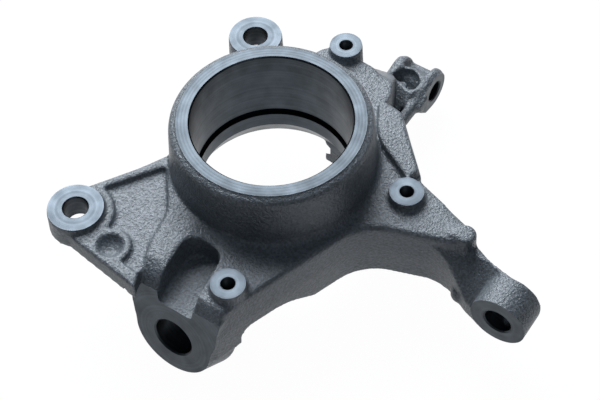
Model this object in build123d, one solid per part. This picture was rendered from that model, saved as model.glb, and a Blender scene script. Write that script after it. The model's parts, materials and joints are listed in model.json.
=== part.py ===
"""Steering knuckle: one iron casting with a bearing barrel, brake caliper ears, a ball joint lug,
a steering arm and a strut lug.

Frame: +Z runs along the wheel bearing axis and out of the open rim, +X points to the steering arm
and +Y to the strut lug. The origin is the middle of the machined rim face. Millimetres.
"""

import os
from math import atan2, cos, degrees, hypot, radians, sin, tan

from build123d import *

# Bearing barrel, with depths measured down from the rim face
BEARING_R = 41.0
BEARING_SEAT = 41.0
GROOVE_WIDTH = 3.5
GROOVE_DEPTH = 1.6
LAND_R = 39.8
LAND_END = 53.0
MOUTH_R = 45.5
BARREL_LENGTH = 64.0
SEAT_CHAMFER = 0.8
RIM_FACE_R = 47.6
RIM_STEP = 0.8
RIM_ROLL = 4.0
BARREL_TOP_R = 52.0
BARREL_FOOT_R = 56.0
FOOT_RADIUS = 4.0

# Levels of the casting
WEB_LEVEL = 32.0
PARTING_LEVEL = 50.0
BODY_DEPTH = 69.0
SHOULDER_LEVEL = 29.0
SHOULDER_RUNOUT = 11.0
SHOULDER_RUNOUT_X = -9.0
DRAFT = 2.0
EDGE_RADIUS = 3.0

# Body outline beside the barrel, at the parting level
LUG_LEFT_X = -19.0
LUG_RIGHT_X = 30.0
WAIST_RADIUS = 30.0
LEAF_LEVEL = 27.5

# Relief pockets in the back of the casting
POCKET_MOUTH = 95.0
NUT_ROOM_LEVEL = 58.5
ARCH_START_Y = -83.0
ARCH_END_Y = -38.0
POCKET_LEVEL = 49.0
POCKET_RADIUS = 6.0

# Brake caliper ears
EAR_R = 14.6
EAR_HOLE_R = 6.25
EAR_LEVEL = 26.0
EAR_BACK = 40.0
LOWER_EAR_X = -63.6
LOWER_EAR_Y = -82.7
UPPER_EAR_X = -52.9
UPPER_EAR_Y = 60.6
EAR_RING = 4.6
SHOULDER_EDGE = ((-25.5, -57, 14), (-21.5, -78, 20))
PANEL_DEPTH = 3.0
DIMPLE_X = -36.5
DIMPLE_Y = -90.0
DIMPLE_R = 7.0
DIMPLE_DEPTH = 5.0
DIMPLE_RIM = 3.5

# Bosses for the brake dust shield
SHIELD_BOSS_R = 9.0
SHIELD_HOLE_R = 3.3
SHIELD_HOLE_DEPTH = 16.0
SHIELD_CHAMFER = 0.9
SHIELD_LEVEL = 27.0
SHIELD_ANGLE = 12.2
SHIELD_SPREAD = 83.5
SHIELD_OUTER_PITCH_R = 82.5
SHIELD_INNER_PITCH_R = 72.1

# Ball joint lug, its axis leaning inboard towards the strut
BALL_JOINT_R = 11.0
BALL_JOINT_X = 5.5
BALL_JOINT_Y = -100.3
BALL_JOINT_LEVEL = 65.0
BALL_JOINT_LEAN = 10.0
BALL_JOINT_BOSS_R = 22.5
BALL_JOINT_LENGTH = 19.0
BALL_JOINT_FLARE = 6.5
SOLE_LEVEL = 88.0
CHANNEL_LEVEL = 44.0
CHANNEL_LEFT_X = -8.5
CHANNEL_RIGHT_X = 12.5
CHANNEL_MOUTH_LEFT_X = -1.5
CHANNEL_MOUTH_RIGHT_X = 21.5
CHANNEL_END_Y = -61.5
CHANNEL_RADIUS = 8.5
CHANNEL_DRAFT = 3.0

# Steering arm
EYE_R = 15.0
EYE_HOLE_R = 7.2
EYE_X = 140.4
EYE_LEVEL = 50.0
EYE_FACE_Y = -14.0
EYE_LENGTH = 17.6
ARM_DIP_X = 110.0
ARM_DIP_LEVEL = 40.0
ARM_SLOPE = 47.0
STOP_R = 5.6
STOP_X = 107.0
STOP_Y = 11.0
STOP_LEVEL = 30.0
KNOB_R = 5.5
KNOB_X = 113.8
KNOB_Y = -1.5
KNOB_LEVEL = 62.5

# Strut lug: two dog-bone cheeks with a web between them
STRUT_X_MIN = 5.0
STRUT_X_MAX = 31.4
STRUT_HOLE_R = 6.0
STRUT_UPPER_Y = 113.0
STRUT_SPACING = 54.0
STRUT_LEVEL = 71.3
STRUT_EAR_R = 12.5
STRUT_WAIST_FRONT = 63.5
STRUT_WAIST_BACK = 72.0
STRUT_WAIST_Y = 86.0
STRUT_WEB_LEVEL = 67.0
STRUT_EDGE = 2.2
STRUT_HEEL = 10.0
STRUT_SPOT_R = 13.5
NECK_X_MIN = 1.0
CHEEK = 5.5
CUP_LEVEL = 60.8
CUP_Y = 104.0
CUP_R = 8.0
CUP_WALL = 2.3
CUP_DEPTH = 9.0
CUP_BACK = 82.0
CUP_CUT_Y = 98.9
CUP_CUT_ANGLE = 15.5
CUP_LIP = 1.5
CUP_X = 17.3
PAD_R = 2.4
PAD_X = 17.6
PAD_Y = 101.0


def outline(*corners):
    """A closed outline from corners (x, y, radius), each corner rounded by its own radius."""
    turn = sum(a[0] * b[1] - b[0] * a[1] for a, b in zip(corners, corners[1:] + corners[:1]))
    if turn < 0:
        corners = corners[::-1]
    points = [Vector(x, y) for x, y, _ in corners]
    edges = []
    starts = []
    ends = []
    for index, (_, _, radius) in enumerate(corners):
        here = points[index]
        back = (points[index - 1] - here).normalized()
        ahead = (points[(index + 1) % len(points)] - here).normalized()
        half = radians(back.get_angle(ahead)) / 2
        reach = radius / tan(half)
        starts.append(here + back * reach)
        ends.append(here + ahead * reach)
        if radius > 0:
            bisector = (back + ahead).normalized()
            middle = here + bisector * (radius / sin(half) - radius)
            edges.append(ThreePointArc(starts[-1], middle, ends[-1]))
    for index in range(len(points)):
        edges.append(Line(ends[index - 1], starts[index]))
    return make_face(edges)


def slab(face, top, bottom):
    """A face raised into a plate between two levels below the rim face."""
    return Pos(0, 0, -bottom) * extrude(face, bottom - top, dir=(0, 0, 1))


def cast_slab(face, top, bottom, edge=EDGE_RADIUS, parting=PARTING_LEVEL):
    """A cast plate: drafted up and down from the parting level, with its top edge rounded."""
    plate = extrude(face, parting - top, taper=DRAFT)
    if edge > 0:
        plate = fillet(plate.faces().sort_by(Axis.Z)[-1].edges(), edge)
    if bottom > parting:
        plate += mirror(extrude(face, bottom - parting, taper=DRAFT), Plane.XY)
    return Pos(0, 0, -parting) * plate


def along_y(x, level, radius, start, end):
    """A round bar or hole along Y at one level."""
    bar = Cylinder(radius, end - start, align=(Align.CENTER, Align.CENTER, Align.MIN))
    return Pos(x, start, -level) * Rot(-90, 0, 0) * bar


def along_x(y, level, radius, start, end):
    """A round bar or hole along X at one level."""
    bar = Cylinder(radius, end - start, align=(Align.CENTER, Align.CENTER, Align.MIN))
    return Pos(start, y, -level) * Rot(0, 90, 0) * bar


def round_boss(x, y, radius, top, bottom, edge=0.0):
    """An upright round boss, its foot wider by the draft and its top edge broken."""
    spread = (bottom - top) * tan(radians(DRAFT))
    boss = Pos(x, y, -bottom) * Cone(
        radius + spread, radius, bottom - top, align=(Align.CENTER, Align.CENTER, Align.MIN)
    )
    if edge > 0:
        boss = chamfer(boss.edges().sort_by(Axis.Z)[-1], edge)
    return boss


def hole(x, y, radius, top, bottom, chamfer_size=0.0):
    """An upright drilled hole with a chamfered mouth."""
    drill = Pos(x, y, -bottom) * Cylinder(
        radius, bottom - top, align=(Align.CENTER, Align.CENTER, Align.MIN)
    )
    if chamfer_size > 0:
        mouth = Pos(x, y, -top - chamfer_size) * Cone(
            radius, radius + 2 * chamfer_size, 2 * chamfer_size,
            align=(Align.CENTER, Align.CENTER, Align.MIN),
        )
        drill += mouth
    return drill


def shield_boss_places():
    """Centres of the three dust shield bosses, even about one radial line."""
    places = []
    for step, pitch in ((-1, SHIELD_OUTER_PITCH_R), (0, SHIELD_INNER_PITCH_R), (1, SHIELD_OUTER_PITCH_R)):
        angle = radians(SHIELD_ANGLE + step * SHIELD_SPREAD)
        places.append((pitch * cos(angle), pitch * sin(angle)))
    return places


def barrel_wall():
    """The barrel's outside: a machined rim face, a rolled cast edge and a drafted wall."""
    wall = Polyline(
        (0, 0), (RIM_FACE_R, 0), (RIM_FACE_R, -RIM_STEP), (BARREL_TOP_R - RIM_ROLL, -RIM_STEP)
    )
    roll = RadiusArc(
        (BARREL_TOP_R - RIM_ROLL, -RIM_STEP), (BARREL_TOP_R, -RIM_STEP - RIM_ROLL), RIM_ROLL
    )
    side = Polyline(
        (BARREL_TOP_R, -RIM_STEP - RIM_ROLL), (BARREL_FOOT_R, -BARREL_LENGTH), (0, -BARREL_LENGTH), (0, 0)
    )
    section = make_face(Plane.XZ * (wall + roll + side))
    return revolve(section, Axis.Z)


def barrel_bore():
    """The bearing seat with its lead-in, the snap ring groove, the land and the flared mouth."""
    groove_end = BEARING_SEAT + GROOVE_WIDTH
    section = Plane.XZ * Polyline(
        (0, 1),
        (BEARING_R + SEAT_CHAMFER + 1, 1),
        (BEARING_R, -SEAT_CHAMFER),
        (BEARING_R, -BEARING_SEAT),
        (BEARING_R + GROOVE_DEPTH, -BEARING_SEAT),
        (BEARING_R + GROOVE_DEPTH, -groove_end),
        (LAND_R, -groove_end),
        (LAND_R, -LAND_END),
        (MOUTH_R, -BARREL_LENGTH),
        (MOUTH_R, -BARREL_LENGTH - 30),
        (0, -BARREL_LENGTH - 30),
        close=True,
    )
    return revolve(make_face(section), Axis.Z)


def barrel_foot():
    """The hollow fillet where the barrel wall meets the web, all round."""
    wall_r = BARREL_TOP_R
    section = Plane.XZ * (
        Polyline(
            (wall_r + 1.5 + FOOT_RADIUS, -WEB_LEVEL),
            (wall_r - 2, -WEB_LEVEL),
            (wall_r - 2, -WEB_LEVEL + FOOT_RADIUS),
            (wall_r + 1.5, -WEB_LEVEL + FOOT_RADIUS),
        )
        + RadiusArc(
            (wall_r + 1.5, -WEB_LEVEL + FOOT_RADIUS), (wall_r + 1.5 + FOOT_RADIUS, -WEB_LEVEL), -FOOT_RADIUS
        )
    )
    return revolve(make_face(section), Axis.Z)


def foot_room():
    """The part of the ring round the barrel's foot that has the deep body's web below it."""
    return slab(body_outline(), WEB_LEVEL - FOOT_RADIUS - 1, WEB_LEVEL + 1)


def body_outline():
    """Outline of the deep body: ball joint lug, waist and arm root, round to the barrel."""
    return outline(
        (LUG_LEFT_X, -99, 0),
        (LUG_RIGHT_X + 1, -99, 0),
        (37, -78, 30),
        (61, -11, WAIST_RADIUS),
        (109, 5, 6),
        (109, 16.5, 5),
        (64, 31, 10),
        (46, 48, 8),
        (10, 40, 6),
        (-20, 20, 8),
        (-20, -20, 8),
        (-36, -42, 6),
        (-26, -60, 12),
    )


def body():
    """The deep body round the lower and right side of the barrel."""
    return cast_slab(body_outline(), WEB_LEVEL, BODY_DEPTH)


def upper_web():
    """The thin web that carries the upper dust shield boss."""
    face = outline(
        (24, 50, 0),
        (27, 70, 10),
        (12, 82, 12),
        (-20, 84, 12),
        (-30, 50, 0),
    )
    return cast_slab(face, WEB_LEVEL, WEB_LEVEL + 13, parting=WEB_LEVEL + 13)


def leaf_pad():
    """The raised flat pad on the strut side of the barrel, on a web of its own."""
    face = outline(
        (25.5, 61, 2),
        (41, 59.5, 8),
        (50, 50, 10),
        (69, 31, 2),
        (66.5, 22.5, 2),
        (38.5, 37.5, 32),
    )
    web = outline(
        (20, 40, 0),
        (24, 63, 4),
        (42, 60, 8),
        (51, 50.5, 10),
        (70, 31, 3),
        (74, 24, 0),
        (50, 10, 0),
    )
    pad = cast_slab(face, LEAF_LEVEL, LEAF_LEVEL + 12, edge=1.0, parting=LEAF_LEVEL + 12)
    return pad + cast_slab(web, WEB_LEVEL, EAR_BACK, edge=0, parting=EAR_BACK)


def shoulder():
    """The smooth raised shoulder left of the ball joint channel, running out to its right."""
    face = outline(
        (-13, -99, 0),
        (8, -99, 0),
        (8, -56, 0),
        (-14, -40, 0),
        (-35.7, -44, 0),
        *SHOULDER_EDGE,
    )
    block = cast_slab(face, SHOULDER_LEVEL, SHOULDER_LEVEL + 8, edge=1.2, parting=SHOULDER_LEVEL + 8)
    runout = Pos(SHOULDER_RUNOUT_X, -70, -SHOULDER_LEVEL) * Rot(0, SHOULDER_RUNOUT, 0)
    return block - runout * Pos(30, 0, 10) * Box(60, 120, 20)


def lug_plane():
    """The machined face of the ball joint lug: local X along the casting, local Y up its face."""
    lean = radians(BALL_JOINT_LEAN)
    return Plane(
        origin=(BALL_JOINT_X, BALL_JOINT_Y, -BALL_JOINT_LEVEL),
        x_dir=(1, 0, 0),
        z_dir=(0, -cos(lean), sin(lean)),
    )


def ball_joint_lug():
    """The round boss of the ball joint, wider to its back, with flared cheeks up to the body."""
    top = BALL_JOINT_LEVEL - WEB_LEVEL - 4
    cheeks = outline(
        (-BALL_JOINT_BOSS_R, 0, 0),
        (-25.5, 13, 8),
        (-24.5, top, 0),
        (28, top, 0),
        (24.5, 10, 20),
        (BALL_JOINT_BOSS_R, 0, 0),
    )
    boss = Pos(0, 0, -BALL_JOINT_LENGTH) * Cone(
        BALL_JOINT_BOSS_R + BALL_JOINT_FLARE,
        BALL_JOINT_BOSS_R,
        BALL_JOINT_LENGTH,
        align=(Align.CENTER, Align.CENTER, Align.MIN),
    )
    boss = fillet(boss.edges().sort_by(Axis.Z)[0], 4)
    return lug_plane() * (boss + extrude(cheeks, -BALL_JOINT_LENGTH + 4))


def lug_trim():
    """What is cut off in front of the ball joint face, rolled off above it and flat below it."""
    front = lug_plane() * Pos(0, 0, 20) * Box(120, 120, 40)
    crown = Plane.YZ * make_face(
        ThreePointArc((-80, -SHOULDER_LEVEL + 0.5), (-91.8, -33.5), (-98, -46))
        + Polyline((-98, -46), (-130, -46), (-130, 0), (-80, 0), (-80, -SHOULDER_LEVEL + 0.5))
    )
    roll = Pos(-40, 0, 0) * extrude(crown, 80)
    sole = Pos(BALL_JOINT_X, BALL_JOINT_Y, -SOLE_LEVEL - 20) * Box(80, 80, 40)
    return front + roll + sole


def lug_channel():
    """The deep open channel that runs down the lug from the barrel to its face."""
    face = outline(
        (CHANNEL_LEFT_X, CHANNEL_END_Y, CHANNEL_RADIUS),
        (CHANNEL_RIGHT_X, CHANNEL_END_Y, CHANNEL_RADIUS),
        (CHANNEL_MOUTH_RIGHT_X, -125, 0),
        (CHANNEL_MOUTH_LEFT_X, -125, 0),
    )
    depth = CHANNEL_LEVEL - SHOULDER_LEVEL
    channel = mirror(extrude(face, depth, taper=CHANNEL_DRAFT), Plane.XY)
    return Pos(0, 0, -SHOULDER_LEVEL) * (channel + extrude(face, 10))


def caliper_web():
    """The triangular web of the lower caliper ear, with its sunk panel and dimple."""
    face = outline(
        (-71, -70, 10),
        (-53.5, -42.5, 80),
        (-44, -24, 0),
        (-15, -30, 0),
        (-24, -50, 0),
        *SHOULDER_EDGE,
        (-11, -103.8, 0),
        (-58, -96.8, 10),
        (-72, -88, 8),
    )
    web = cast_slab(face, SHOULDER_LEVEL, EAR_BACK, edge=0, parting=EAR_BACK)
    panel = outline(
        (LOWER_EAR_X, LOWER_EAR_Y + EAR_R, 0),
        (-60.5, -62.3, 1.2),
        (-42.4, -35.4, 2),
        *SHOULDER_EDGE,
        (-14.6, -95.7, 2),
        (-27, -94.4, 4),
        (DIMPLE_X, DIMPLE_Y - DIMPLE_R, 0),
        (LOWER_EAR_X, LOWER_EAR_Y, 0),
    )
    panel -= Pos(LOWER_EAR_X, LOWER_EAR_Y) * Circle(EAR_R + EAR_RING)
    panel -= Pos(DIMPLE_X, DIMPLE_Y) * Circle(DIMPLE_R + DIMPLE_RIM)
    web -= slab(panel, SHOULDER_LEVEL - 1, SHOULDER_LEVEL + PANEL_DEPTH)
    bowl_r = (DIMPLE_R ** 2 + DIMPLE_DEPTH ** 2) / (2 * DIMPLE_DEPTH)
    bowl = Pos(DIMPLE_X, DIMPLE_Y, -SHOULDER_LEVEL + bowl_r - DIMPLE_DEPTH) * Sphere(bowl_r)
    return web - bowl


def upper_ear_web():
    """The short web between the barrel and the upper caliper ear."""
    reach = hypot(UPPER_EAR_X, UPPER_EAR_Y)
    angle = degrees(atan2(UPPER_EAR_Y, UPPER_EAR_X))
    face = outline(
        (20, -26, 0),
        (52, -20, 14),
        (reach, -EAR_R + 1.5, 0),
        (reach, EAR_R - 1.5, 0),
        (52, 20, 14),
        (20, 26, 0),
    )
    web = cast_slab(face, SHOULDER_LEVEL, EAR_BACK, edge=2.0, parting=EAR_BACK)
    return Rot(0, 0, angle) * web


def ears():
    """Both caliper ears as machined round bosses."""
    bosses = []
    for x, y in ((LOWER_EAR_X, LOWER_EAR_Y), (UPPER_EAR_X, UPPER_EAR_Y)):
        bosses.append(round_boss(x, y, EAR_R, EAR_LEVEL, EAR_BACK, edge=0.6))
    return bosses


def steering_arm():
    """The curved arm: a drafted outline seen from above, cut to its side view."""
    plan = outline(
        (70, -8, 0),
        (100, 3.2, 30),
        (118, -8, 14),
        (130, EYE_FACE_Y + 1, 4),
        (EYE_X, EYE_FACE_Y + 1, 0),
        (EYE_X, 3.6, 0),
        (124, 8.4, 20),
        (103, 18.3, 30),
        (70, 29, 0),
    )
    side = outline(
        (60, -WEB_LEVEL, 0),
        (90, -WEB_LEVEL, 20),
        (ARM_DIP_X, -ARM_DIP_LEVEL, 30),
        (EYE_X, -EYE_LEVEL + EYE_R - 0.4, 0),
        (EYE_X, -EYE_LEVEL - EYE_R + 0.4, 0),
        (118, -BODY_DEPTH + 2, 30),
        (94, -BODY_DEPTH, 20),
        (60, -BODY_DEPTH, 0),
    )
    arm = cast_slab(plan, WEB_LEVEL - 6, BODY_DEPTH + 6, edge=0)
    profile = Plane.XZ * side
    return arm & Pos(0, 60, 0) * extrude(profile, 120) & below_arm_crown()


def below_arm_crown():
    """The space below the arm's top, which slopes down from the strut side to the front."""
    profile = outline(
        (60, -WEB_LEVEL - 4, 0),
        (92, -WEB_LEVEL - 5, 10),
        (ARM_DIP_X - 2, -ARM_DIP_LEVEL - 5, 15),
        (ARM_DIP_X + 10, -ARM_DIP_LEVEL - 9, 20),
        (EYE_X, -EYE_LEVEL + EYE_R, 0),
        (EYE_X, -POCKET_MOUTH, 0),
        (60, -POCKET_MOUTH, 0),
    )
    run = 40
    drop = run * tan(radians(ARM_SLOPE))
    slope = extrude(Plane.XZ * profile, 2 * hypot(run, drop), dir=(0, -run, -drop))
    return Pos(0, run, drop) * slope


def arm_stop():
    """The steering stop on top of the arm, with the ramp that leads up to it."""
    foot = STOP_LEVEL + 20
    ramp_x = STOP_X - STOP_R
    ramp_y = STOP_Y - STOP_R / 4
    return [
        round_boss(STOP_X, STOP_Y, STOP_R, STOP_LEVEL, foot, edge=1.0),
        round_boss(ramp_x, ramp_y, STOP_R - 1, STOP_LEVEL + 0.8, foot, edge=2.0),
    ]


def arm_knob():
    """The round knob that stands out of the arm's lower front."""
    return Pos(KNOB_X, KNOB_Y, -KNOB_LEVEL) * Sphere(KNOB_R)


def steering_eye():
    """The eye of the arm for the track rod."""
    return along_y(EYE_X, EYE_LEVEL, EYE_R, EYE_FACE_Y, EYE_FACE_Y + EYE_LENGTH)


def strut_cheek(x_min, x_max, ear_r):
    """One dog-bone cheek of the strut lug, between its two bolt bosses."""
    lower_y = STRUT_UPPER_Y - STRUT_SPACING
    shank = outline(
        (STRUT_UPPER_Y - 3, -STRUT_LEVEL + ear_r * 0.95, 0),
        (STRUT_UPPER_Y - 19, -STRUT_WAIST_FRONT, 6),
        (lower_y + 18, -STRUT_WAIST_FRONT, 8),
        (lower_y + 3, -STRUT_LEVEL + ear_r * 0.9, 0),
        (lower_y + 3, -STRUT_LEVEL - ear_r * 0.9, 0),
        (lower_y + 18, -STRUT_WAIST_BACK, 8),
        (STRUT_UPPER_Y - 17, -STRUT_WAIST_BACK, 3),
        (STRUT_UPPER_Y - STRUT_HEEL, -STRUT_LEVEL - ear_r * 0.9, 3),
        (STRUT_UPPER_Y, -STRUT_LEVEL - ear_r + 0.02, 0),
    )
    face = shank + Pos(STRUT_UPPER_Y, -STRUT_LEVEL) * Circle(ear_r)
    face += Pos(lower_y, -STRUT_LEVEL) * Circle(ear_r)
    cheek = Pos(x_min, 0, 0) * extrude(Plane.YZ * face, x_max - x_min, dir=(1, 0, 0))
    rim = cheek.faces().sort_by(Axis.X)[-1 if x_max == STRUT_X_MAX else 0].edges()
    return chamfer(rim, STRUT_EDGE, STRUT_EDGE * 0.7)


def strut_lug():
    """Both cheeks, the web between them and the sloped face below the cup."""
    lug = strut_cheek(STRUT_X_MAX - CHEEK, STRUT_X_MAX, STRUT_EAR_R)
    lug += strut_cheek(STRUT_X_MIN, STRUT_X_MIN + CHEEK, STRUT_EAR_R - 1)
    lower_y = STRUT_UPPER_Y - STRUT_SPACING
    web = outline(
        (46.8, -66, 0),
        (70, -74, 6),
        (STRUT_WAIST_Y, -74, 6),
        (CUP_CUT_Y - 1, -STRUT_WEB_LEVEL, 0),
        (123, -STRUT_WEB_LEVEL, 2),
        (123, -78, 4),
        (112, -82, 6),
        (48, -82, 6),
    )
    width = STRUT_X_MAX - CHEEK - STRUT_X_MIN - 1.5
    lug += Pos(STRUT_X_MIN + 2, 0, 0) * extrude(Plane.YZ * web, width, dir=(1, 0, 0))
    ramp = make_face(Polyline((-17, -14), (0, 0), (3, 0), (3, -18), (-17, -18), (-17, -14)))
    ramp = extrude(Plane.YZ * ramp, CUP_R + 1, both=True)
    lug += Pos(CUP_X, CUP_CUT_Y, -CUP_LEVEL) * Rot(0, 0, -CUP_CUT_ANGLE) * ramp
    lug += along_x(lower_y, STRUT_LEVEL, STRUT_EAR_R, STRUT_X_MIN, STRUT_X_MAX)
    return lug


def beyond_cup_cut(offset):
    """The space on the lower side of the cup's straight cut."""
    space = Rot(0, 0, -CUP_CUT_ANGLE) * Pos(0, -20, 0) * Box(80, 40, 60)
    return Pos(CUP_X, CUP_CUT_Y + offset, -CUP_LEVEL) * space


def strut_cup():
    """The raised ring of the cup, cut off straight on its lower side."""
    ring = Pos(CUP_X, CUP_Y, -CUP_BACK) * Cylinder(
        CUP_R + CUP_WALL, CUP_BACK - CUP_LEVEL, align=(Align.CENTER, Align.CENTER, Align.MIN)
    )
    return ring - beyond_cup_cut(0)


def cup_hollow():
    """The inside of the cup, with the small half-round pad left at its lip."""
    hollow = Pos(CUP_X, CUP_Y, -CUP_LEVEL - CUP_DEPTH) * Cylinder(
        CUP_R, CUP_DEPTH + 20, align=(Align.CENTER, Align.CENTER, Align.MIN)
    )
    pad = Pos(PAD_X, PAD_Y, -CUP_LEVEL - CUP_DEPTH) * Cylinder(
        PAD_R, CUP_DEPTH - 1, align=(Align.CENTER, Align.CENTER, Align.MIN)
    )
    return hollow - beyond_cup_cut(CUP_LIP) - pad


def strut_neck():
    """The neck that carries the strut lug off the barrel, spot faced for the lower bolt's nut."""
    plan = outline(
        (STRUT_X_MIN + 1, 104, 0),
        (10.5, 103, 0),
        (18, 92, 6),
        (29, 68, 0),
        (29, 44, 0),
        (NECK_X_MIN, 44, 0),
        (NECK_X_MIN - 1, 78, 8),
    )
    side = outline(
        (44, -WEB_LEVEL, 0),
        (78, -WEB_LEVEL, 8),
        (104, -CUP_LEVEL - 1, 0),
        (104, -82, 0),
        (44, -82, 0),
    )
    column = slab(plan, WEB_LEVEL - 2, 84)
    lower_y = STRUT_UPPER_Y - STRUT_SPACING
    spot = along_x(lower_y, STRUT_LEVEL, STRUT_SPOT_R, STRUT_X_MIN - 20, STRUT_X_MIN)
    return column & Pos(-20, 0, 0) * extrude(Plane.YZ * side, 60) - spot


def back_pockets():
    """Relief cuts in the back: the ball joint nut's room and the hollow root of the arm."""
    nut_room = outline(
        (ARCH_START_Y, -POCKET_MOUTH, 0),
        (ARCH_START_Y + 1.5, -NUT_ROOM_LEVEL, 6),
        (-56, -NUT_ROOM_LEVEL, 25),
        (ARCH_END_Y, -BODY_DEPTH - 1, 0),
        (ARCH_END_Y, -POCKET_MOUTH, 0),
    )
    arm_root = outline(
        (61, -3, POCKET_RADIUS),
        (93, 10.5, 3),
        (60, 27, POCKET_RADIUS),
    )
    hollow = Pos(0, 0, -POCKET_MOUTH) * extrude(arm_root, POCKET_MOUTH - POCKET_LEVEL, taper=DRAFT)
    return [Pos(-12, 0, 0) * extrude(Plane.YZ * nut_room, 100, dir=(1, 0, 0)), hollow]


def casting():
    """The rough casting before its holes are machined."""
    solid = body() + upper_web() + shoulder() + ball_joint_lug()
    solid += steering_arm()
    solid += leaf_pad()
    solid += strut_neck()
    solid += strut_lug() + strut_cup()
    solid -= cup_hollow()
    solid -= lug_trim()
    solid -= lug_channel()
    solid += caliper_web()
    solid += upper_ear_web()
    for boss in ears():
        solid += boss
    solid += steering_eye()
    for boss in arm_stop():
        solid += boss
    solid += arm_knob()
    for x, y in shield_boss_places():
        solid += round_boss(x, y, SHIELD_BOSS_R, SHIELD_LEVEL, WEB_LEVEL + 13, edge=0.4)
    for pocket in back_pockets():
        solid -= pocket
    solid += barrel_foot() & foot_room()
    return solid + barrel_wall()


def machining():
    """Every bore and hole cut into the casting."""
    cuts = [barrel_bore()]
    for x, y in ((LOWER_EAR_X, LOWER_EAR_Y), (UPPER_EAR_X, UPPER_EAR_Y)):
        cuts.append(hole(x, y, EAR_HOLE_R, EAR_LEVEL, EAR_BACK + 1, 0.6))
    for x, y in shield_boss_places():
        cuts.append(hole(x, y, SHIELD_HOLE_R, SHIELD_LEVEL, SHIELD_LEVEL + SHIELD_HOLE_DEPTH, SHIELD_CHAMFER))
    drill = Pos(0, 0, 5) * Cylinder(BALL_JOINT_R, 50)
    cuts.append(lug_plane() * drill)
    cuts.append(along_y(EYE_X, EYE_LEVEL, EYE_HOLE_R, EYE_FACE_Y - 1, EYE_FACE_Y + EYE_LENGTH + 1))
    for y in (STRUT_UPPER_Y, STRUT_UPPER_Y - STRUT_SPACING):
        cuts.append(along_x(y, STRUT_LEVEL, STRUT_HOLE_R, STRUT_X_MIN - 10, STRUT_X_MAX + 10))
    return cuts


knuckle = casting()
for cut in machining():
    knuckle -= cut

os.makedirs("parts", exist_ok=True)
export_step(knuckle, "parts/knuckle.step")
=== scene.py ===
"""A cast steering knuckle on a pale studio floor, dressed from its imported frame.

The casting is made the way the real one is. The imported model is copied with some
stock left on its machined faces and its holes filled, remeshed and smoothed so that
every cast edge is round, and then faced, bored and drilled to size.
"""
import json
import math

import bmesh
import bpy
from mathutils import Matrix, Vector


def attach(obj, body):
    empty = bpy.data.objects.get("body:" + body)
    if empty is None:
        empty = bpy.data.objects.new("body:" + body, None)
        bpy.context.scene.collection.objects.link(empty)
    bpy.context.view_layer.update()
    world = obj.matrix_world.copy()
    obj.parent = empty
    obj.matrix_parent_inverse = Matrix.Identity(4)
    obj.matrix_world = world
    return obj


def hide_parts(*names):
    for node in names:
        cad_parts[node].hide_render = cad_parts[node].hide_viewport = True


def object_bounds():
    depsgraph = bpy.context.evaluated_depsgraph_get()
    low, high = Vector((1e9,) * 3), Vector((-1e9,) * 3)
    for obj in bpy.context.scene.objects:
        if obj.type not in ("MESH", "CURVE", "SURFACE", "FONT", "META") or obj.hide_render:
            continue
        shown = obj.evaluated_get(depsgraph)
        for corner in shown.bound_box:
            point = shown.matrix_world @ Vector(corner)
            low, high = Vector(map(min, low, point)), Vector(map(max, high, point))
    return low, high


MM = 0.001

# Casting, mm
SKIN_VOXEL = 0.85
SKIN_SMOOTHING = 10
SKIN_SHARE_KEPT = 0.55
FACE_STOCK = 2.0
HOLE_PLUG_MARGIN = 0.8
TAPPED_PLUG_DEPTH = 0.5
BORE_PLUG_MARGIN = 2.5
CORNER_JOIN = 0.002

# Cutting tools, mm, and the sides of their round solids
CUTTER_REACH = 7.0
MILL_CLEARANCE = 1.5
RIM_FACER_MARGIN = 8.0
DRILL_SIDES = 96
BORE_SIDES = 192
# height of a drill's point, as a share of its radius
DRILL_TIP = 0.3

# How a packed flat face is told: its slope, its height off the boss's, and its reach past the boss
FLAT_SLOPE = 0.9995
FLAT_OFFSET = 0.2
FLAT_REACH = 8.0

# Cast skin: the width and height of its grain and lumps and the width of its clouds of tone, mm
GRAIN_WIDTH = 1.3
GRAIN_HEIGHT = 0.7
LUMP_WIDTH = 3.5
LUMP_HEIGHT = 0.45
LUMP_STRENGTH = 0.6
CLOUD_WIDTH = 24.0
SKIN_TINT = ("#5c646c", "#747c85")
SKIN_METAL = 0.2
SKIN_GLOSS = 0.42

# Tool marks: the width of the rings of tone and of the stains, and the height of a ridge, mm
RING_WIDTH = 1.6
STAIN_WIDTH = 9.0
RIDGE_HEIGHT = 0.012
RIDGE_STRENGTH = 0.2

# Roughness of the machined iron, and the tool's feed in mm
FACED_FINISH = (0.36, 0.8)
DRILLED_FINISH = (0.44, 0.6)
BORED_FINISH = (0.34, 0.9)

# Colours of the machined iron, the dull and the bright of each
SPOT_FACED_TINT = ("#3f464d", "#4d555d")
# the milled iron is darker than the spot-faced iron: partly its own finish, partly painted shade
# for the ball joint lug and arm eye faces, which face the front, away from the key light
MILLED_TINT_WITH_PAINTED_SHADE = ("#353b41", "#454c53")
DRILLED_TINT = ("#30353a", "#454b51")
BORED_TINT = ("#383e44", "#444b52")

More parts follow.
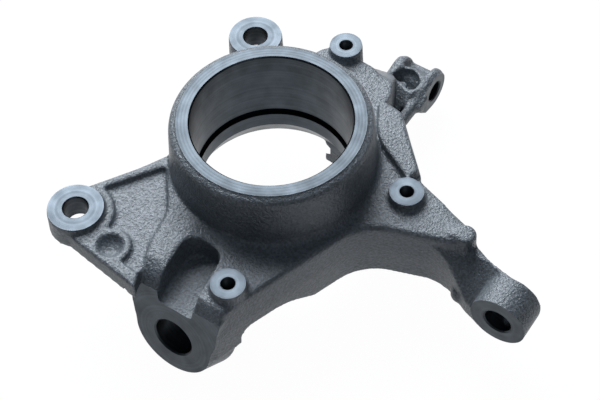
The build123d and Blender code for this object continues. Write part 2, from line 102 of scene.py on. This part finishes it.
# Machined bosses, mm: the boss's radius, its hole's chamfer, how far the face stands above the
# hole's wall, whether the far end is faced too, and the colours of the face
CALIPER_EAR = {"boss_r": 14.6, "chamfer": 0.6, "rise": 0.6, "both": False, "tint": SPOT_FACED_TINT}
SHIELD_BOSS = {"boss_r": 9.0, "chamfer": 0.5, "rise": 0.9, "both": False, "tint": SPOT_FACED_TINT}
# the milled bosses take the darker milled tint, which carries painted shade
BALL_JOINT_LUG = {"boss_r": 24.0, "chamfer": 0.8, "rise": 0.0, "both": False, "tint": MILLED_TINT_WITH_PAINTED_SHADE}
ARM_EYE = {"boss_r": 15.0, "chamfer": 0.7, "rise": 0.0, "both": False, "tint": MILLED_TINT_WITH_PAINTED_SHADE}
STRUT_EAR = {"boss_r": 12.5, "chamfer": 0.7, "rise": 0.0, "both": True, "tint": MILLED_TINT_WITH_PAINTED_SHADE}
BOSSES = {
    "caliper_hole_lower": CALIPER_EAR,
    "caliper_hole_upper": CALIPER_EAR,
    "shield_hole_lower": SHIELD_BOSS,
    "shield_hole_side": SHIELD_BOSS,
    "shield_hole_upper": SHIELD_BOSS,
    "ball_joint_bore": BALL_JOINT_LUG,
    "track_rod_bore": ARM_EYE,
    "strut_hole_upper": STRUT_EAR,
    "strut_hole_lower": STRUT_EAR,
}

# Tapped holes, with their thread in mm
TAPPED = ("shield_hole_lower", "shield_hole_side", "shield_hole_upper")
THREAD_PITCH = 1.25
THREAD_DEPTH = 0.6

# Bearing bore, mm from the rim face
SEAT_CHAMFER = 0.8
GROOVE_WIDTH = 3.5
GROOVE_DEPTH = 1.6
LAND_R = 39.8
LAND_END = 53.0
MOUTH_R = 45.5
BARREL_LENGTH = 64.0
RIM_R = 47.6

# Camera, mm and degrees
CAMERA_PLACE = (286.16, -379.74, 577.58)
CAMERA_TARGET = (26.95, -16.16, -30.0)
CAMERA_ROLL = -2.42
CAMERA_LENS = 90.0

# Lamps: place, target and size in mm, and watts
KEY_SOFTBOX = ((-790, 700, 930), (0, 0, -40), (1150, 1150), 38.0)
FILL_SOFTBOX = ((780, -420, 620), (20, 0, -40), (500, 500), 0.5)

# Studio, mm
FLOOR_SIZE = 6000.0
FLOOR_GAP = 0.5
PAPER_GLOW = 0.98
PAPER_TINT = "#2c2e31"
HORIZON_TINT = "#1c2024"
ZENITH_TINT = "#6a7178"


def linear(code):
    """An sRGB hex colour as linear red, green, blue and alpha."""
    parts = [int(code[i:i + 2], 16) / 255 for i in (1, 3, 5)]
    return [c / 12.92 if c <= 0.04045 else ((c + 0.055) / 1.055) ** 2.4 for c in parts] + [1.0]


def add(tree, kind, inputs=None, **settings):
    """Adds one node with its settings, and its sockets' values or links."""
    made = tree.nodes.new(kind)
    for name, value in settings.items():
        setattr(made, name, value)
    for socket, value in (inputs or {}).items():
        if isinstance(value, bpy.types.NodeSocket):
            tree.links.new(value, made.inputs[socket])
        else:
            made.inputs[socket].default_value = value
    return made


def new_material(name):
    """An empty node material and its tree."""
    material = bpy.data.materials.new(name)
    material.use_nodes = True
    material.node_tree.nodes.clear()
    return material, material.node_tree


def close_material(tree, surface):
    """Joins the finished shader to the material's output."""
    add(tree, "ShaderNodeOutputMaterial", {"Surface": surface})


# The frame

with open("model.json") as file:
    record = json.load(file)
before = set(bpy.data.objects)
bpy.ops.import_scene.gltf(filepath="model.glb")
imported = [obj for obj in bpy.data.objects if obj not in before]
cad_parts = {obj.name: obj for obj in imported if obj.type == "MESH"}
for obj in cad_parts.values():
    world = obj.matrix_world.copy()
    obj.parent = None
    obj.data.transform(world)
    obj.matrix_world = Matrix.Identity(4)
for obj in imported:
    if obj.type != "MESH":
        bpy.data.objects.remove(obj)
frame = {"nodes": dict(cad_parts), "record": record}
cad_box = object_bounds()
knuckle = frame["nodes"]["knuckle"]
mounts = {m["name"]: m for m in frame["record"]["mounts"]}


def place(name):
    """A mount's point and axis."""
    mount = mounts[name]
    return Vector(mount["pos_m"]), Vector(mount["axis"]).normalized()


def radius(name):
    """A mount's radius in metres."""
    return mounts[name]["dims"]["r_mm"] * MM


def length(name):
    """A mount's wall length in metres."""
    return mounts[name]["dims"]["length_mm"] * MM


# Materials

def sand_cast_iron():
    """Ductile iron, sand cast and shot blasted: a dull blue-grey skin with a leathery grain."""
    material, tree = new_material("sand_cast_ductile_iron")
    place_on = add(tree, "ShaderNodeTexCoord").outputs["Object"]
    # sand grain of the mould, drawn over a millimetre wide so that it shows
    grain = add(tree, "ShaderNodeTexNoise", {"Vector": place_on, "Scale": 1 / (GRAIN_WIDTH * MM),
                                            "Detail": 2.0, "Roughness": 0.6}).outputs["Fac"]
    # small lumps where the blasted skin has pulled together, a few millimetres apart
    lumps = add(tree, "ShaderNodeTexNoise", {"Vector": place_on, "Scale": 1 / (LUMP_WIDTH * MM),
                                            "Detail": 2.0, "Roughness": 0.5}).outputs["Fac"]
    # slow change of tone over a few centimetres, as the skin cooled
    clouds = add(tree, "ShaderNodeTexNoise", {"Vector": place_on, "Scale": 1 / (CLOUD_WIDTH * MM),
                                             "Detail": 4.0}).outputs["Fac"]
    coarse = add(tree, "ShaderNodeBump", {"Height": lumps, "Strength": LUMP_STRENGTH,
                                         "Distance": LUMP_HEIGHT * MM})
    fine = add(tree, "ShaderNodeBump", {"Height": grain, "Strength": 1.0,
                                       "Distance": GRAIN_HEIGHT * MM,
                                       "Normal": coarse.outputs["Normal"]})
    tone = add(tree, "ShaderNodeMixRGB", {"Fac": clouds, "Color1": linear(SKIN_TINT[0]),
                                         "Color2": linear(SKIN_TINT[1])}).outputs["Color"]
    # the tops of the grain are worn brighter than its pits
    worn = add(tree, "ShaderNodeMapRange", {"Value": grain, "From Min": 0.35, "From Max": 0.65,
                                           "To Min": 0.72, "To Max": 1.2}).outputs["Result"]
    colour = add(tree, "ShaderNodeVectorMath", {0: tone, "Scale": worn}, operation="SCALE")
    rough = add(tree, "ShaderNodeMapRange", {"Value": clouds, "From Min": 0.3, "From Max": 0.7,
                                            "To Min": 0.36, "To Max": 0.45}).outputs["Result"]
    # an oxide skin over iron: a little metal in it, and a dull gloss
    skin = add(tree, "ShaderNodeBsdfPrincipled",
               {"Base Color": colour.outputs["Vector"], "Roughness": rough,
                "Metallic": SKIN_METAL, "Specular IOR Level": SKIN_GLOSS,
                "Normal": fine.outputs["Normal"]})
    close_material(tree, skin.outputs["BSDF"])
    return material


def turned_iron(name, centre, axis, tint, finish):
    """Bare iron turned, drilled or faced about one axis, with fine rings of the tool."""
    material, tree = new_material(name)
    roughness, feed_mm = finish
    place_on = add(tree, "ShaderNodeTexCoord").outputs["Object"]
    arm = add(tree, "ShaderNodeVectorMath", {0: place_on, 1: centre},
              operation="SUBTRACT").outputs["Vector"]
    height = add(tree, "ShaderNodeVectorMath", {0: arm, 1: axis},
                 operation="DOT_PRODUCT").outputs["Value"]
    sideways = add(tree, "ShaderNodeVectorMath", {0: arm, 1: axis},
                   operation="CROSS_PRODUCT").outputs["Vector"]
    ring_r = add(tree, "ShaderNodeVectorMath", {0: sideways}, operation="LENGTH").outputs["Value"]
    # the tool's feed, drawn nearly a millimetre wide so that it shows
    path = add(tree, "ShaderNodeMath", {0: ring_r, 1: height}, operation="ADD").outputs["Value"]
    turns = add(tree, "ShaderNodeMath", {0: path, 1: 2 * math.pi / (feed_mm * MM)},
                operation="MULTIPLY").outputs["Value"]
    ridge = add(tree, "ShaderNodeMath", {0: turns}, operation="SINE").outputs["Value"]
    # rings of unlike brightness, a few feeds wide
    band_at = add(tree, "ShaderNodeCombineXYZ", {"X": path}).outputs["Vector"]
    bands = add(tree, "ShaderNodeTexNoise", {"Vector": band_at, "Scale": 1 / (RING_WIDTH * MM),
                                            "Detail": 3.0}).outputs["Fac"]
    stain = add(tree, "ShaderNodeTexNoise", {"Vector": place_on, "Scale": 1 / (STAIN_WIDTH * MM),
                                            "Detail": 4.0}).outputs["Fac"]
    both = add(tree, "ShaderNodeMath", {0: bands, 1: stain}, operation="ADD").outputs["Value"]
    shade = add(tree, "ShaderNodeMapRange", {"Value": both, "From Min": 0.75,
                                            "From Max": 1.25}).outputs["Result"]
    bump = add(tree, "ShaderNodeBump", {"Height": ridge, "Strength": RIDGE_STRENGTH,
                                       "Distance": RIDGE_HEIGHT * MM})
    tone = add(tree, "ShaderNodeMixRGB", {"Fac": shade, "Color1": linear(tint[0]),
                                         "Color2": linear(tint[1])}).outputs["Color"]
    rough = add(tree, "ShaderNodeMapRange", {"Value": shade, "To Min": roughness + 0.06,
                                            "To Max": roughness - 0.04}).outputs["Result"]
    metal = add(tree, "ShaderNodeBsdfPrincipled",
                {"Base Color": tone, "Roughness": rough, "Metallic": 1.0,
                 "Normal": bump.outputs["Normal"]})
    close_material(tree, metal.outputs["BSDF"])
    return material


def white_paper():
    """Matt studio paper: white to the camera and in gloss, and it keeps a soft shadow."""
    material, tree = new_material("white_studio_paper")
    rays = add(tree, "ShaderNodeLightPath").outputs
    seen = add(tree, "ShaderNodeMath", {0: rays["Is Camera Ray"], 1: rays["Is Glossy Ray"]},
               operation="MAXIMUM").outputs["Value"]
    seen = add(tree, "ShaderNodeMath", {0: seen, 1: rays["Is Transmission Ray"]},
               operation="MAXIMUM").outputs["Value"]
    glow = add(tree, "ShaderNodeMath", {0: seen, 1: PAPER_GLOW},
               operation="MULTIPLY").outputs["Value"]
    paper = add(tree, "ShaderNodeBsdfDiffuse", {"Color": linear(PAPER_TINT)})
    light = add(tree, "ShaderNodeEmission", {"Color": linear("#ffffff"), "Strength": glow})
    both = add(tree, "ShaderNodeAddShader", {0: paper.outputs["BSDF"],
                                            1: light.outputs["Emission"]})
    close_material(tree, both.outputs["Shader"])
    return material


# The casting

def sides(name):
    """The ends of a mount's hole that are faced: +1 on its axis, and -1 too where both are."""
    return (1, -1) if BOSSES[name]["both"] else (1,)


def face_height(name):
    """Height of a boss's face above the middle of its hole."""
    return length(name) / 2 + BOSSES[name]["rise"] * MM


def flat_faces(bm, name, side):
    """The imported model's flat faces at one end of a mount's hole."""
    point, axis = place(name)
    axis = axis * side
    height = 0 if name == "bearing_bore" else face_height(name)
    reach = (RIM_R if name == "bearing_bore" else BOSSES[name]["boss_r"] + FLAT_REACH) * MM
    found = []
    for face in bm.faces:
        arm = face.calc_center_median() - point
        off_axis = (arm - axis * arm.dot(axis)).length
        off_height = abs(arm.dot(axis) - height)
        flat = face.normal.dot(axis) > FLAT_SLOPE
        if flat and off_axis < reach and off_height < FLAT_OFFSET * MM:
            found.append(face)
    return found


def sweep(bm, faces, axis, low, high):
    """Adds the solid that flat faces sweep along an axis."""
    corners = {v for f in faces for v in f.verts}
    lower = {v: bm.verts.new(v.co + axis * low) for v in corners}
    upper = {v: bm.verts.new(v.co + axis * high) for v in corners}
    for face in faces:
        bm.faces.new([upper[v] for v in face.verts])
        bm.faces.new([lower[v] for v in reversed(face.verts)])
        for loop in face.loops:
            if sum(f in faces for f in loop.edge.link_faces) == 1:
                a, b = loop.vert, loop.link_loop_next.vert
                bm.faces.new([lower[a], lower[b], upper[b], upper[a]])


def turned_solid(bm, point, axis, profile, steps=DRILL_SIDES):
    """Adds a solid turned about an axis from (radius, height) pairs in metres."""
    upright = axis.to_track_quat("Z", "Y").to_matrix().to_4x4()
    upright.translation = point
    rings = []
    for r, height in profile:
        turns = [2 * math.pi * i / steps for i in range(steps if r > 0 else 1)]
        rings.append([bm.verts.new(upright @ Vector((r * math.cos(t), r * math.sin(t), height)))
                      for t in turns])
    for lower, upper in zip(rings, rings[1:]):
        for i in range(steps):
            j = (i + 1) % steps
            corners = [lower[i % len(lower)], lower[j % len(lower)],
                       upper[j % len(upper)], upper[i % len(upper)]]
            bm.faces.new(list(dict.fromkeys(corners)))


def object_of(bm, name, material=None):
    """A new object from a finished bmesh."""
    mesh = bpy.data.meshes.new(name)
    bmesh.ops.recalc_face_normals(bm, faces=bm.faces)
    bm.to_mesh(mesh)
    bm.free()
    made = bpy.data.objects.new(name, mesh)
    bpy.context.scene.collection.objects.link(made)
    if material:
        mesh.materials.append(material)
    return made


def apply_modifier(target, kind, **settings):
    """Adds one modifier to an object and applies it."""
    modifier = target.modifiers.new(kind.lower(), kind)
    for name, value in settings.items():
        setattr(modifier, name, value)
    bpy.context.view_layer.objects.active = target
    bpy.ops.object.modifier_apply(modifier=modifier.name)


def packed_mesh():
    """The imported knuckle's mesh, its corners joined."""
    bm = bmesh.new()
    bm.from_mesh(knuckle.data)
    bmesh.ops.remove_doubles(bm, verts=bm.verts, dist=CORNER_JOIN * MM)
    return bm


def raw_casting():
    """The casting before machining: stock on its faces, no holes, and every edge round."""
    bm = packed_mesh()
    stock = FACE_STOCK * MM
    sweep(bm, flat_faces(bm, "bearing_bore", 1), place("bearing_bore")[1], -stock, stock)
    for name in BOSSES:
        point, axis = place(name)
        for side in sides(name):
            sweep(bm, flat_faces(bm, name, side), axis * side, -stock, stock)
        r = radius(name) + HOLE_PLUG_MARGIN * MM
        low = -length(name) / 2 - (TAPPED_PLUG_DEPTH * MM if name in TAPPED else 0)
        high = face_height(name) + stock
        turned_solid(bm, point, axis, [(0, low), (r, low), (r, high), (0, high)])
    r = radius("bearing_bore") + BORE_PLUG_MARGIN * MM
    low = -BARREL_LENGTH * MM
    turned_solid(bm, *place("bearing_bore"), [(0, low), (r, low), (r, stock), (0, stock)])
    casting = object_of(bm, "casting")
    apply_modifier(casting, "REMESH", mode="VOXEL", voxel_size=SKIN_VOXEL * MM)
    apply_modifier(casting, "SMOOTH", factor=0.5, iterations=SKIN_SMOOTHING)
    apply_modifier(casting, "DECIMATE", ratio=SKIN_SHARE_KEPT)
    return casting


def machine(casting, cutter):
    """Cuts one tool's path out of the casting; the cut faces take the tool's finish."""
    apply_modifier(casting, "BOOLEAN", object=cutter, operation="DIFFERENCE", solver="MANIFOLD",
                   material_mode="TRANSFER")
    bpy.data.objects.remove(cutter)


def spot_facer(name, side, material):
    """The path of a spot facing tool over one round boss."""
    bm = bmesh.new()
    point, axis = place(name)
    level = face_height(name)
    wide = (BOSSES[name]["boss_r"] + MILL_CLEARANCE) * MM
    top = level + CUTTER_REACH * MM
    turned_solid(bm, point, axis * side, [(0, level), (wide, level), (wide, top), (0, top)])
    return object_of(bm, "spot_facer", material)


def face_mill(name, material):
    """The path of a face mill over one flat face that isn't round."""
    model = packed_mesh()
    bm = bmesh.new()
    corners = {v for f in flat_faces(model, name, 1) for v in f.verts}
    centre = sum((v.co for v in corners), Vector()) / len(corners)
    for v in corners:
        arm = v.co - centre
        edge = v.co + arm.normalized() * MILL_CLEARANCE * MM
        bm.verts.new(edge)
        bm.verts.new(edge + place(name)[1] * CUTTER_REACH * MM)
    model.free()
    hull = bmesh.ops.convex_hull(bm, input=bm.verts)
    bmesh.ops.delete(bm, geom=list(set(hull["geom_interior"])), context="VERTS")
    return object_of(bm, "face_mill", material)


def drill(name, material):
    """The drill of one hole, with its countersink at each faced end and any thread as rings."""
    bm = bmesh.new()
    point, axis = place(name)
    r = radius(name)
    chamfer = BOSSES[name]["chamfer"] * MM
    face = face_height(name)
    top = face + CUTTER_REACH * MM
    profile = [(r, face - chamfer), (r + chamfer, face), (r + chamfer, top), (0, top)]
    if BOSSES[name]["both"]:
        far_end = [(0, -top), (r + chamfer, -top), (r + chamfer, -face), (r, chamfer - face)]
        profile = far_end + profile
    elif name in TAPPED:
        tip = -length(name) / 2
        pitch = THREAD_PITCH * MM
        turns = int((face - chamfer - tip) / pitch) - 1
        thread = []
        for i in range(turns):
            crest = face - chamfer - (turns - i) * pitch
            thread += [(r, crest), (r + THREAD_DEPTH * MM, crest + pitch / 2)]
        profile = [(0, tip - DRILL_TIP * r), (r, tip)] + thread + profile
    else:
        profile = [(0, -top), (r, -top)] + profile
    turned_solid(bm, point, axis, profile)
    return object_of(bm, "drill", material)


def boring_bar(material):
    """Faces the rim and bores the seat, its groove, the land and the flared mouth."""
    bm = bmesh.new()
    r = radius("bearing_bore")
    seat = -length("bearing_bore")
    groove = seat - GROOVE_WIDTH * MM
    chamfer = SEAT_CHAMFER * MM
    wide = (RIM_R + RIM_FACER_MARGIN) * MM
    mouth = -BARREL_LENGTH * MM
    profile = [
        (0, mouth - CUTTER_REACH * MM),
        (MOUTH_R * MM, mouth - CUTTER_REACH * MM),
        (MOUTH_R * MM, mouth),
        (LAND_R * MM, -LAND_END * MM),
        (LAND_R * MM, groove),
        (r + GROOVE_DEPTH * MM, groove),
        (r + GROOVE_DEPTH * MM, seat),
        (r, seat),
        (r, -chamfer),
        (r + chamfer, 0),
        (wide, 0),
        (wide, CUTTER_REACH * MM),
        (0, CUTTER_REACH * MM),
    ]
    turned_solid(bm, *place("bearing_bore"), profile, steps=BORE_SIDES)
    return object_of(bm, "boring_bar", material)


def finished_casting():
    """The casting machined to size, each tool's surface in its own iron."""
    casting = raw_casting()
    casting.data.materials.clear()
    casting.data.materials.append(sand_cast_iron())
    for name in BOSSES:
        point, axis = place(name)
        tint = BOSSES[name]["tint"]
        faced = turned_iron("spot_faced_iron_" + name, point, axis, tint, FACED_FINISH)
        for side in sides(name):
            if name == "ball_joint_bore":
                machine(casting, face_mill(name, faced))
            else:
                machine(casting, spot_facer(name, side, faced))
        drilled = turned_iron("drilled_iron_" + name, point, axis, DRILLED_TINT, DRILLED_FINISH)
        machine(casting, drill(name, drilled))
    point, axis = place("bearing_bore")
    bored = turned_iron("bored_iron_bearing_seat", point, axis, BORED_TINT, BORED_FINISH)
    machine(casting, boring_bar(bored))
    casting.name = "cast_knuckle"
    casting.data.name = "cast_knuckle"
    return casting


# The studio

def studio_floor():
    """A wide sheet of white paper just under the knuckle."""
    level = cad_box[0].z - FLOOR_GAP * MM
    half = FLOOR_SIZE * MM / 2
    bm = bmesh.new()
    corners = [bm.verts.new((x, y, level)) for x, y in
               ((-half, -half), (half, -half), (half, half), (-half, half))]
    bm.faces.new(corners)
    floor = object_of(bm, "floor")
    floor.data.materials.append(white_paper())
    return floor


def softbox(name, place_mm, target_mm, size_mm, watts):
    """A square studio lamp aimed at a point."""
    lamp = bpy.data.lights.new(name, "AREA")
    lamp.shape = "RECTANGLE"
    lamp.size, lamp.size_y = size_mm[0] * MM, size_mm[1] * MM
    lamp.energy = watts
    holder = bpy.data.objects.new(name, lamp)
    bpy.context.scene.collection.objects.link(holder)
    holder.location = Vector(place_mm) * MM
    holder.rotation_mode = "QUATERNION"
    aim = (Vector(target_mm) - Vector(place_mm)).normalized()
    holder.rotation_quaternion = aim.to_track_quat("-Z", "Y")


def studio_lamps():
    """A large soft key from behind on the left, and a weak fill from the right front."""
    softbox("key_softbox", *KEY_SOFTBOX)
    softbox("fill_softbox", *FILL_SOFTBOX)


def studio_world():
    """The studio's air: pale overhead, dimmer towards the horizon."""
    world = bpy.data.worlds.new("studio_air")
    world.use_nodes = True
    tree = world.node_tree
    tree.nodes.clear()
    look = add(tree, "ShaderNodeTexCoord").outputs["Generated"]
    height = add(tree, "ShaderNodeSeparateXYZ", {"Vector": look}).outputs["Z"]
    climb = add(tree, "ShaderNodeMapRange", {"Value": height, "From Min": 0.1,
                                            "From Max": 1.0}).outputs["Result"]
    tone = add(tree, "ShaderNodeMixRGB", {"Fac": climb, "Color1": linear(HORIZON_TINT),
                                         "Color2": linear(ZENITH_TINT)}).outputs["Color"]
    air = add(tree, "ShaderNodeBackground", {"Color": tone, "Strength": 1.0})
    # the camera sees the air as white as the paper
    backdrop = add(tree, "ShaderNodeBackground", {"Color": linear("#ffffff"), "Strength": 1.0})
    rays = add(tree, "ShaderNodeLightPath").outputs
    both = add(tree, "ShaderNodeMixShader", {0: rays["Is Camera Ray"], 1: air.outputs["Background"],
                                            2: backdrop.outputs["Background"]})
    add(tree, "ShaderNodeOutputWorld", {"Surface": both.outputs["Shader"]})
    bpy.context.scene.world = world


def studio_camera():
    """The photograph's view: from the right front, looking down."""
    lens = bpy.data.cameras.new("camera")
    lens.lens = CAMERA_LENS
    camera = bpy.data.objects.new("camera", lens)
    bpy.context.scene.collection.objects.link(camera)
    place_m, target_m = Vector(CAMERA_PLACE) * MM, Vector(CAMERA_TARGET) * MM
    aim = (target_m - place_m).to_track_quat("-Z", "Y").to_matrix()
    roll = Matrix.Rotation(math.radians(CAMERA_ROLL), 3, "Z")
    camera.matrix_world = Matrix.Translation(place_m) @ (aim @ roll).to_4x4()
    bpy.context.scene.camera = camera


studio_camera()
casting = finished_casting()
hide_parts("knuckle")
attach(casting, "root")
studio_floor()
studio_lamps()
studio_world()
bpy.context.scene.view_settings.view_transform = "Standard"
